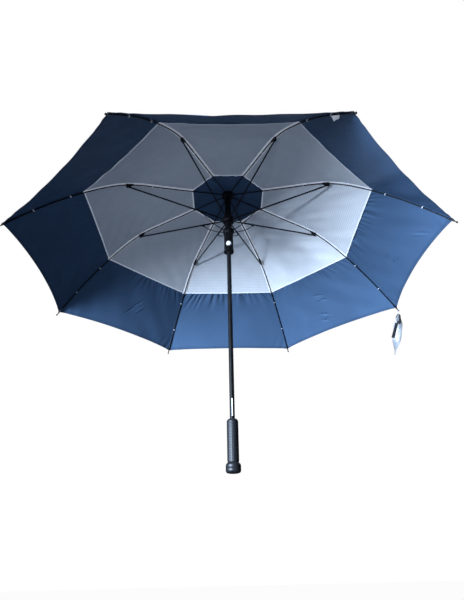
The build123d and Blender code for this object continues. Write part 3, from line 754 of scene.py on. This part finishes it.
def tag_piece(name, start, length, width, thick, turn, off, material, shape=None, bow=0.0, shift=0.0, rows=48, cols=10, crease=0.0):
    """A hanging strip of card or film. start and length run down from the eyelet, turn gives its facing, shape its width along it."""
    verts, uvs = [], []
    for side in (0, 1):
        for i in range(rows + 1):
            t = i / rows
            down = start + length * t
            phi = math.radians(turn(t))
            wide = ACROSS * math.cos(phi) + TAG_OUT * math.sin(phi)
            face = ACROSS * -math.sin(phi) + TAG_OUT * math.cos(phi)
            corner = 0.0025
            near = min(t, 1 - t) * length
            half = width / 2 * (shape(t) if shape else 1.0) - (corner - math.sqrt(max(corner**2 - (corner - min(near, corner)) ** 2, 0)))
            for j in range(cols + 1):
                q = 2 * j / cols - 1
                d = (side - 0.5) * thick + bow * (1 - q * q) + crease * math.sin(9 * q + 14 * t) * math.sin(math.pi * t)
                verts.append(HOLE + TAG_OUT * off + HANG * down + wide * (q * half + shift * t) + face * d)
                uvs.append((q * half, down))
    w, m = cols + 1, (rows + 1) * (cols + 1)
    faces = []
    for i in range(rows):
        for j in range(cols):
            v = i * w + j
            faces.append((v, v + w, v + w + 1, v + 1))
            faces.append((m + v, m + v + 1, m + v + w + 1, m + v + w))
    for i in range(rows):
        for j in (0, cols):
            v = i * w + j
            faces.append((v, m + v, m + v + w, v + w) if j == 0 else (v, v + w, m + v + w, m + v))
    for j in range(cols):
        for i in (0, rows):
            v = i * w + j
            faces.append((v, v + 1, m + v + 1, m + v) if i == 0 else (v, m + v, m + v + 1, v + 1))
    o = mesh_object(name, verts, faces, [material], "tags", uvs)
    bm = bmesh.new()
    bm.from_mesh(o.data)
    bmesh.ops.recalc_face_normals(bm, faces=bm.faces)
    bm.to_mesh(o.data)
    bm.free()
    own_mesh(o)
    return o


def film_width(t):
    return 0.46 + 0.54 * smooth(0.0, 0.26, t) if t < 0.62 else 1.0 - 0.30 * smooth(0.62, 1.0, t)


sleeve = tag_piece("tag_sleeve", -0.0020, 0.1440, 0.030, 0.0007, lambda t: 84 + 54 * smooth(0.0, 0.40, t) + 76 * smooth(0.50, 1.0, t), 0.0012, SLEEVE, film_width, bow=0.0016, crease=0.0007)
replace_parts(sleeve, "hang_tags")
tag_piece("tag_insert", 0.0240, 0.0720, 0.021, 0.0004, lambda t: 104 + 36 * smooth(0.0, 0.40, t) + 22 * smooth(0.6, 1.0, t), 0.0012, CARD, bow=0.0022)
tag_piece("tag_head", -0.0030, 0.0360, 0.0165, 0.0014, lambda t: 124 + 10 * t, -0.0012, CARD_DARK, lambda t: 0.55 + 0.45 * smooth(0, 0.3, t), rows=20)
tag_piece("tag_strip", 0.0220, 0.0620, 0.0095, 0.0010, lambda t: 128, -0.0042, CARD_DARK, shift=-0.0095)
tag_piece("tag_spot", 0.0035, 0.0085, 0.0046, 0.0006, lambda t: 126, -0.0032, RED, lambda t: math.sin(math.pi * (0.12 + 0.76 * t)), rows=12, shift=0.0)


def eyelet():
    verts, faces, uvs = [], [], []
    seg, ring = 28, 8
    for i in range(seg):
        a = 2 * math.pi * i / seg
        for j in range(ring):
            c = 2 * math.pi * j / ring
            r = 0.0022 + 0.0006 * math.cos(c)
            verts.append(HOLE + TAG_TAN * (r * math.cos(a)) + Vector((0, 0, r * math.sin(a))) + TAG_OUT * (0.0011 * math.sin(c)))
            uvs.append((a * 0.002, c * 0.001))
    for i in range(seg):
        for j in range(ring):
            faces.append((i * ring + j, i * ring + (j + 1) % ring, ((i + 1) % seg) * ring + (j + 1) % ring, ((i + 1) % seg) * ring + j))
    return mesh_object("tag_eyelet", verts, faces, [CARD_DARK], "tags", uvs)


eyelet()


def loop_line():
    """The nylon loop: over the tip's neck, turned a quarter, through the eyelet."""
    side = [(0.0, 0.0, 2.9), (0.2, 2.7, 1.2), (0.3, 3.0, -2.5), (1.0, 2.4, -8.0), (2.3, 1.0, -14.0), (2.7, 0.1, -18.2), (1.75, 0.0, -20.75), (0.0, 0.0, -21.6)]
    other = [(-x, -y, z) for x, y, z in side[1:-1]][::-1]
    keys = [np.array(p) for p in side + other]
    out = []
    n = len(keys)
    for i in range(n):
        p0, p1, p2, p3 = keys[(i - 1) % n], keys[i], keys[(i + 1) % n], keys[(i + 2) % n]
        for j in range(8):
            t = j / 8
            q = 0.5 * (2 * p1 + (p2 - p0) * t + (2 * p0 - 5 * p1 + 4 * p2 - p3) * t * t + (3 * p1 - 3 * p2 + p3 - p0) * t**3)
            out.append(TAG_OUT * (LOOP_R + q[0] * 1e-3) + TAG_TAN * (q[1] * 1e-3) + Vector((0, 0, LOOP_Z + q[2] * 1e-3)))
    return out


def tube(name, pts, rad, body, material, m=8):
    """A closed tube along pts, its section carried round without twisting."""
    verts, faces = [], []
    n = len(pts)
    u = TAG_OUT.copy()
    for i, p in enumerate(pts):
        d = (pts[(i + 1) % n] - pts[(i - 1) % n]).normalized()
        u = (u - d * u.dot(d)).normalized()
        s = d.cross(u)
        for q in range(m):
            ang = 2 * math.pi * q / m
            verts.append(p + s * (rad * math.cos(ang)) + u * (rad * math.sin(ang)))
    for i in range(n - 1):
        for q in range(m):
            faces.append((i * m + q, i * m + (q + 1) % m, (i + 1) * m + (q + 1) % m, (i + 1) * m + q))
    # the last ring joins the first where their corners lie closest
    shift = min(range(m), key=lambda k: (verts[(n - 1) * m] - verts[k]).length)
    for q in range(m):
        faces.append(((n - 1) * m + q, (n - 1) * m + (q + 1) % m, (q + 1 + shift) % m, (q + shift) % m))
    uvs = [(v.x, v.y) for v in verts]
    return mesh_object(name, verts, faces, [material], body, uvs)


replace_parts(tube("nylon_tag_loop", loop_line(), 0.00052, "tag_loop", NYLON), "tag_loop")

# ------------------------------------------------------------------ care label by the second rib's tip
# the label glows faintly: painted light, standing in for light through the thin satin
LABEL = tape_material("label_satin", (0.92, 0.92, 0.93), (0.80, 0.80, 0.81), 0.0005, glow=0.22)


def care_label(name, k, r, length, hang):
    """A blank satin label sewn in beside a rib, hanging a little curled."""
    t = theta(k)
    out = Vector((math.cos(t), math.sin(t), 0))
    tan = Vector((-math.sin(t), math.cos(t), 0))
    verts, faces, uvs = [], [], []
    rows, cols = 12, 14
    for i in range(rows + 1):
        for j in range(cols + 1):
            x, y = j / cols, i / rows
            rr, z = lifted(r + length * (x - 0.5), NET_LIFT)
            fall = hang * y * (1 - 0.35 * x)
            curl = 0.0030 * math.sin(2.4 * x + 2.2 * y) * y
            verts.append(out * (rr - 0.0020 * y + 0.0016 * math.sin(5 * x) * y) + Vector((0, 0, z - 0.0040 - fall)) + tan * (0.0036 + curl + 0.0035 * y))
            uvs.append((length * x, hang * y))
    w = cols + 1
    for i in range(rows):
        for j in range(cols):
            faces.append((i * w + j, i * w + j + 1, (i + 1) * w + j + 1, (i + 1) * w + j))
    o = mesh_object(name, verts, faces, [LABEL], f"rib_outer_{k + 1}", uvs)
    tuple(chord_dir_perp(k, 1, J_R, CORNER))
    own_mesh(o)
    sol = o.modifiers.new("thick", "SOLIDIFY")
    sol.thickness = 0.0003
    return o


care_label("care_label", 1, 0.590, 0.026, 0.016)

# ------------------------------------------------------------------ the CAD nodes that show
# the lower catch gets the near-white gloss: a painted highlight standing in for the catch's glint
finish_for = {"shaft": STEEL, "lower_catch": WHITE_GLOSS_AND_PAINTED_SHINE, "ferrule": PLASTIC, "rib_notch": PLASTIC, "collar": PLASTIC, "runner": PLASTIC, "runner_button": WHITE_GLOSS_AND_PAINTED_SHINE, "opening_spring": SPRING, "grip": GRIP, "butt_cap": BUTT, "hang_tags": CARD, "tag_loop": NYLON}
for name, o in NODES.items():
    m = finish_for.get(name)
    if m is None:
        if name.startswith("rib_"):
            m = FIBRE
        elif name.startswith(("stretcher", "link")):
            m = STEEL
        else:
            m = NAVY
    o.data.materials.clear()
    o.data.materials.append(m)

# ------------------------------------------------------------------ camera, floor and light
yaw, pitch, roll = math.radians(1.32), math.radians(29.27), math.radians(-1.34)
fw = Vector((math.sin(yaw) * math.cos(pitch), math.cos(yaw) * math.cos(pitch), math.sin(pitch)))
rt = Vector((math.cos(yaw), -math.sin(yaw), 0))
up = rt.cross(fw)
r2 = rt * math.cos(roll) + up * math.sin(roll)
u2 = up * math.cos(roll) - rt * math.sin(roll)
cam = bpy.data.objects.new("camera", bpy.data.cameras.new("camera"))
cam.data.lens = 29.11
cam.data.sensor_width = 36
cam.data.clip_start = 0.02
cam.data.clip_end = 200
mat = Matrix((r2, u2, -fw)).transposed().to_4x4()
mat.translation = Vector((-0.0231, -1.276, -0.2168))
cam.matrix_world = mat
scene.collection.objects.link(cam)
scene.camera = cam

m, nt, out = new_material("studio_floor")
matt = principled(nt, Roughness=0.9)
matt.inputs["Base Color"].default_value = (0.17, 0.17, 0.18, 1)
glow = node(nt, "ShaderNodeEmission", inputs={"Strength": 0.97})
path = nt.nodes.new("ShaderNodeLightPath")
seen = nt.nodes.new("ShaderNodeMixShader")
link(nt, path.outputs["Is Camera Ray"], seen.inputs[0])
link(nt, matt.outputs[0], seen.inputs[1])
link(nt, glow.outputs[0], seen.inputs[2])
link(nt, seen.outputs[0], out.inputs[0])
FLOOR = -0.9
me = bpy.data.meshes.new("floor")
S = 30
me.from_pydata([(-S, -S, FLOOR), (S, -S, FLOOR), (S, S, FLOOR), (-S, S, FLOOR)], [], [(0, 1, 2, 3)])
me.materials.append(m)
floor = bpy.data.objects.new("floor", me)
scene.collection.objects.link(floor)

world = bpy.data.worlds.new("studio")
scene.world = world
world.use_nodes = True
wn = world.node_tree
wn.nodes.clear()
wo = wn.nodes.new("ShaderNodeOutputWorld")
lp = wn.nodes.new("ShaderNodeLightPath")
bright = wn.nodes.new("ShaderNodeBackground")
bright.inputs["Color"].default_value = (1, 1, 1, 1)
bright.inputs["Strength"].default_value = 1.0
dim = wn.nodes.new("ShaderNodeBackground")
dim.inputs["Color"].default_value = (0.86, 0.90, 1.0, 1)
dim.inputs["Strength"].default_value = 0.055
mx = wn.nodes.new("ShaderNodeMixShader")
wn.links.new(lp.outputs["Is Camera Ray"], mx.inputs[0])
wn.links.new(dim.outputs[0], mx.inputs[1])
wn.links.new(bright.outputs[0], mx.inputs[2])
wn.links.new(mx.outputs[0], wo.inputs[0])


def area(name, at, aim, size, power, colour=(1, 1, 1), size_y=None):
    d = bpy.data.lights.new(name, "AREA")
    d.energy = power
    d.color = colour
    d.shape = "RECTANGLE" if size_y else "SQUARE"
    d.size = size
    if size_y:
        d.size_y = size_y
    o = bpy.data.objects.new(name, d)
    o.location = at
    o.rotation_euler = (Vector(aim) - Vector(at)).to_track_quat("-Z", "Y").to_euler()
    scene.collection.objects.link(o)
    return o


KEY_AZ, KEY_EL, KEY_D = math.radians(225), math.radians(10), 3.4
target = Vector((0.12, 0.12, 0.74))
key_at = target + KEY_D * Vector((math.cos(KEY_AZ) * math.cos(KEY_EL), math.sin(KEY_AZ) * math.cos(KEY_EL), -math.sin(KEY_EL)))
area("key", key_at, target, 1.15, 500, (0.63, 0.785, 1.0))

scene.view_settings.view_transform = "Standard"
scene.view_settings.look = "None"
scene.view_settings.exposure = 0.0
scene.view_settings.gamma = 1.0
